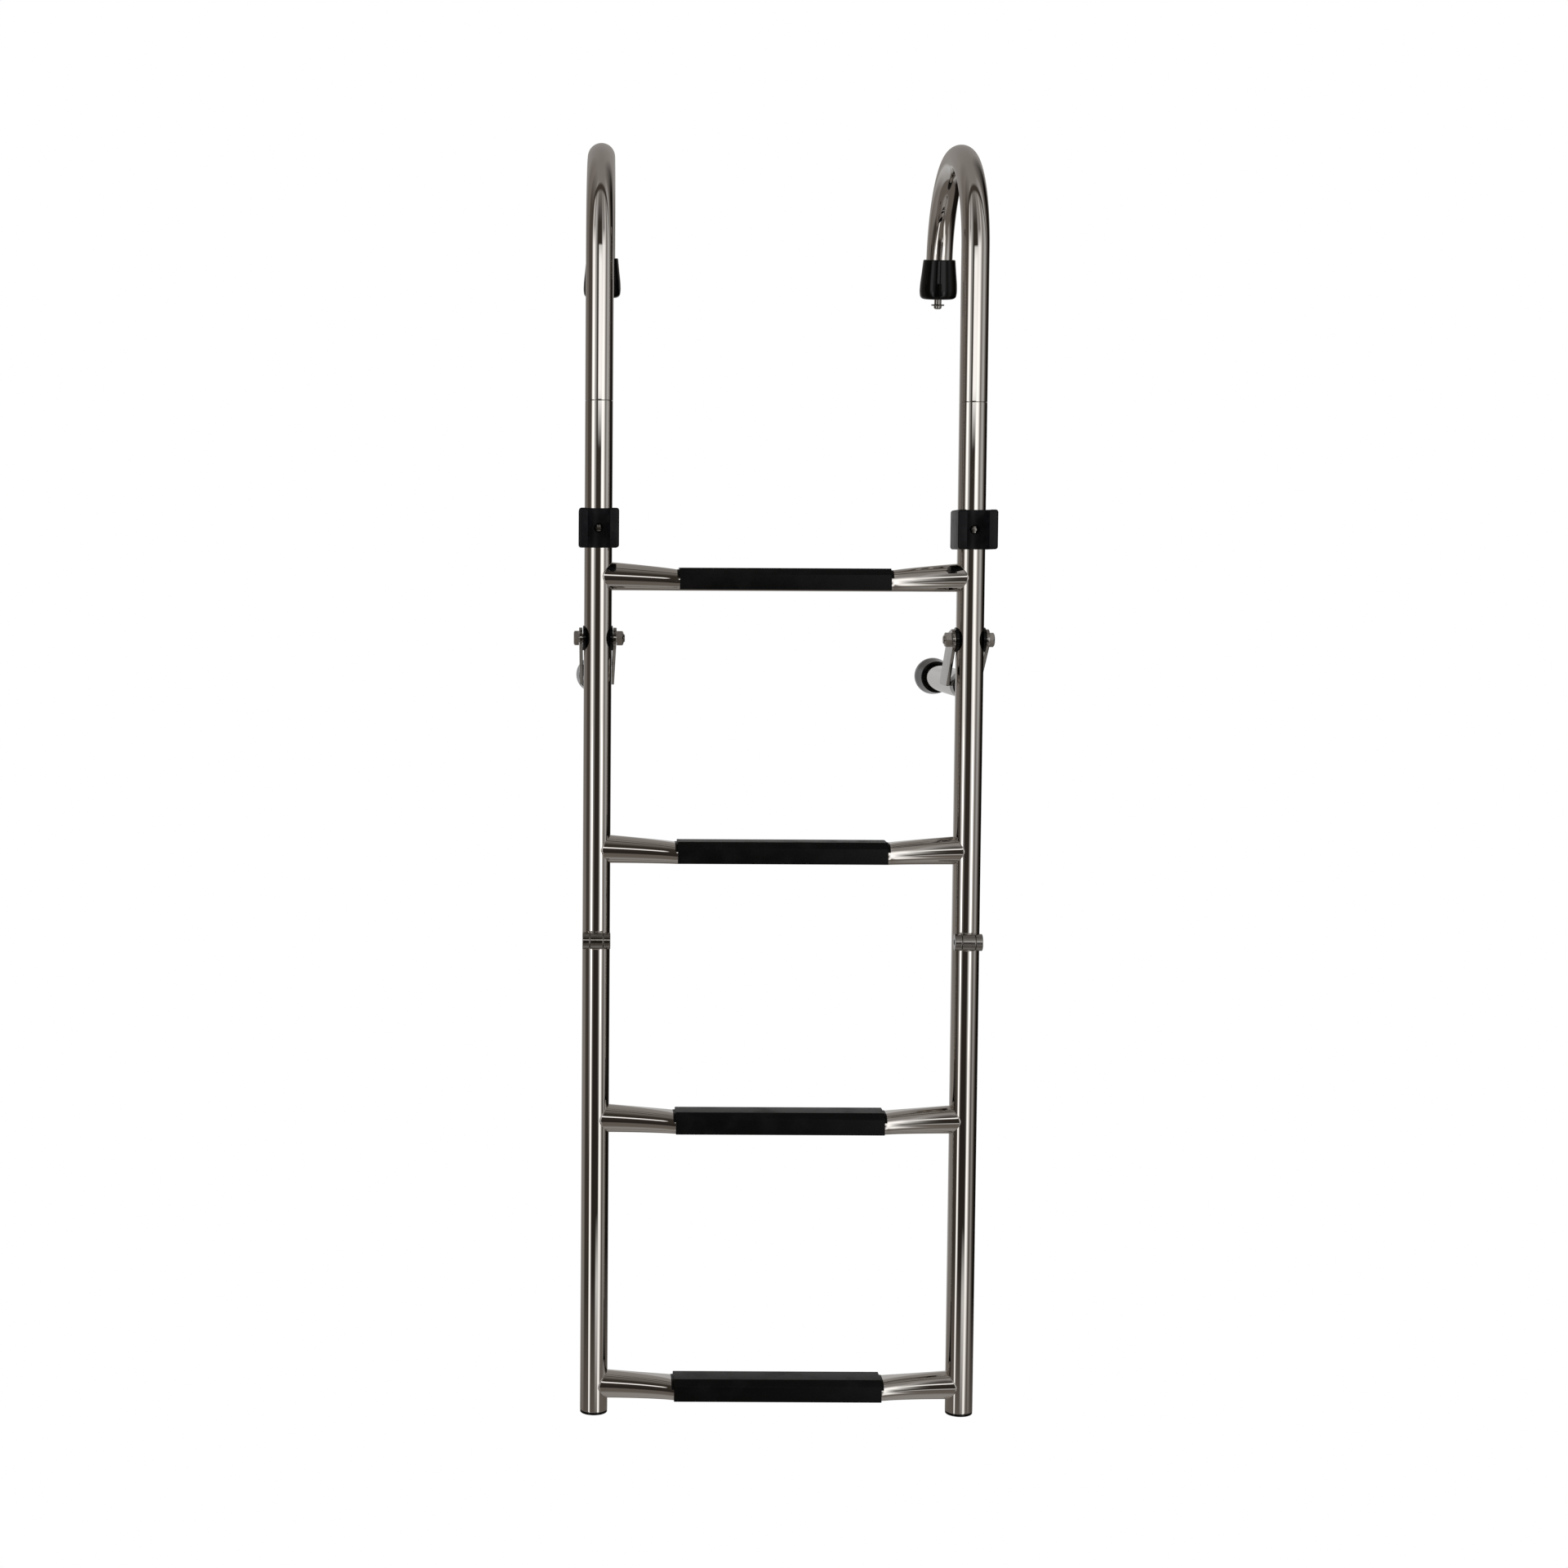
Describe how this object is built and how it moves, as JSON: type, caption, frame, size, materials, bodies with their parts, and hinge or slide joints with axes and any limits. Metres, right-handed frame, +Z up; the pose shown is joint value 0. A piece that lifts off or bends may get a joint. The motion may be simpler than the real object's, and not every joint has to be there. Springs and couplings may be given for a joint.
{
  "type": "boat ladder",
  "caption": "Folding hook-on boat ladder of polished tube with flattened rungs, clip-on treads, rail clips and swinging stand-off legs.",
  "frame": {"origin": "midway between the two hooks, at the inner crowns that rest on the gunwale", "axes": "+X along the rungs, +Y away from the climber, over the gunwale, +Z up along the rails"},
  "size_m": [0.384, 0.277, 1.1812],
  "materials": {
    "polished_tube": "mirror-polished stainless tube",
    "steel_fastener": "plain stainless",
    "black_rubber": "smooth glossy rubber",
    "black_plastic": "semi-matte moulded plastic",
    "black_tread": "matte plastic with a faint lengthwise grain"
  },
  "bodies": {
    "upper_frame": {"left_upper_rail": "polished_tube", "left_hook_tube": "polished_tube", "left_hook_cap": "black_rubber", "left_hook_stud": "steel_fastener", "left_clip": "black_plastic", "left_clip_screw": "steel_fastener", "left_hinge_upper": "polished_tube", "left_hinge_pin": "steel_fastener", "left_pivot_bolt": "steel_fastener", "left_pivot_spacers": "black_plastic", "right_upper_rail": "polished_tube", "right_hook_tube": "polished_tube", "right_hook_cap": "black_rubber", "right_hook_stud": "steel_fastener", "right_clip": "black_plastic", "right_clip_screw": "steel_fastener", "right_hinge_upper": "polished_tube", "right_hinge_pin": "steel_fastener", "right_pivot_bolt": "steel_fastener", "right_pivot_spacers": "black_plastic", "rung_1": "polished_tube", "tread_1": "black_tread", "rung_2": "polished_tube", "tread_2": "black_tread"},
    "lower_frame": {"left_lower_rail": "polished_tube", "left_hinge_lower": "polished_tube", "left_foot_plug": "black_rubber", "right_lower_rail": "polished_tube", "right_hinge_lower": "polished_tube", "right_foot_plug": "black_rubber", "rung_3": "polished_tube", "tread_3": "black_tread", "rung_4": "polished_tube", "tread_4": "black_tread"},
    "left_standoff": {"left_leg_tube": "polished_tube", "left_leg_straps": "polished_tube", "left_leg_foot": "black_rubber", "left_leg_bumper": "black_rubber"},
    "right_standoff": {"right_leg_tube": "polished_tube", "right_leg_straps": "polished_tube", "right_leg_foot": "black_rubber", "right_leg_bumper": "black_rubber"}
  },
  "joints": [
    {"name": "lower_fold", "type": "hinge", "parent": "upper_frame", "child": "lower_frame", "pos_m": [0, -0.1105, -0.7121], "axis": [-1, 0, 0], "range_deg": [0, 180]},
    {"name": "left_leg_swing", "type": "hinge", "parent": "upper_frame", "child": "left_standoff", "pos_m": [-0.17, -0.095, -0.4358], "axis": [1, 0, 0], "range_deg": [0, 92]},
    {"name": "right_leg_swing", "type": "hinge", "parent": "upper_frame", "child": "right_standoff", "pos_m": [0.17, -0.095, -0.4358], "axis": [1, 0, 0], "range_deg": [0, 92]}
  ]
}
